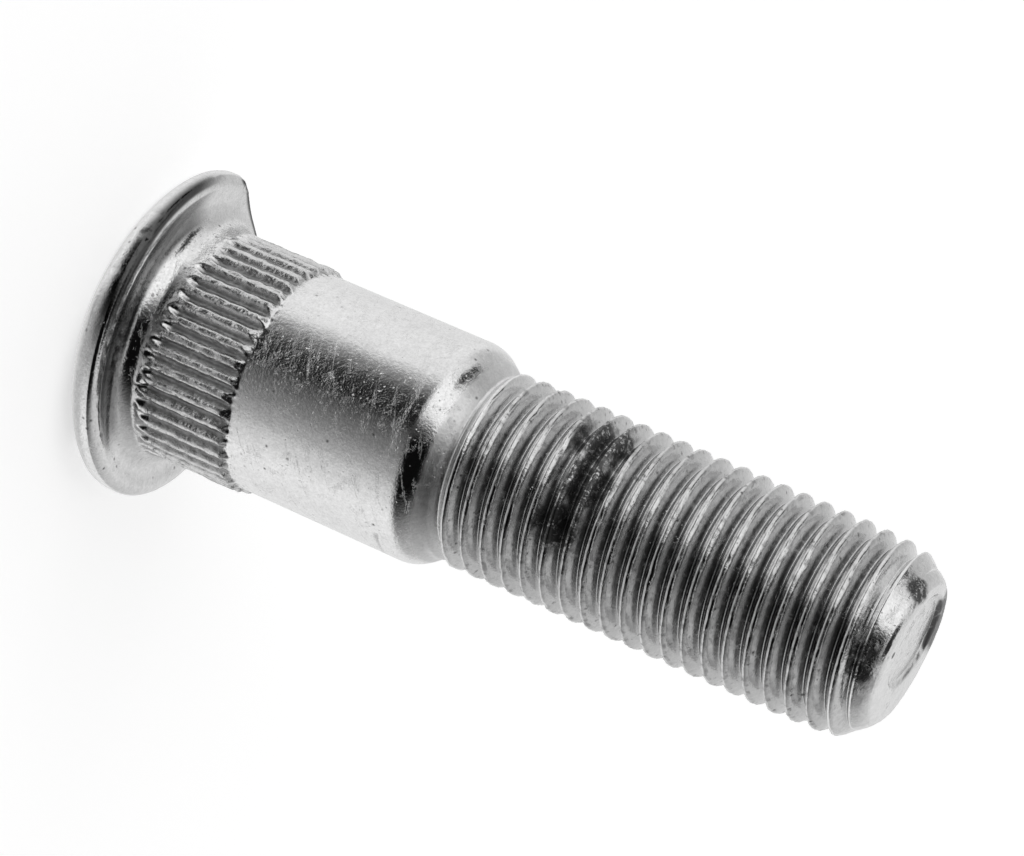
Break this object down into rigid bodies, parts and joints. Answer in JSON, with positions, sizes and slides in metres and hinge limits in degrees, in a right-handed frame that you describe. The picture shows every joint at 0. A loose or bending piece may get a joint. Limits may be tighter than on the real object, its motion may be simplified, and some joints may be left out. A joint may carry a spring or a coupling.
{
  "type": "wheel stud",
  "caption": "Wheel stud with a thin round head with one flat side, a press-fit serration, a plain shank with a rounded shoulder and a long fine right-hand thread with a chamfered tip.",
  "frame": {"origin": "on the stud's axis, in the plane of the head's back face, which is what the stud stands on", "axes": "+Z along the stud's axis from the head to the tip, the head's flat side towards -X, +Y completing the right-hand frame"},
  "size_m": [0.0217, 0.0238, 0.0584],
  "materials": {
    "zinc_plated_steel": "bright zinc plating, lightly scratched, with grime on the thread"
  },
  "bodies": {
    "root": {"wheel_stud_body": "zinc_plated_steel"}
  },
  "joints": []
}
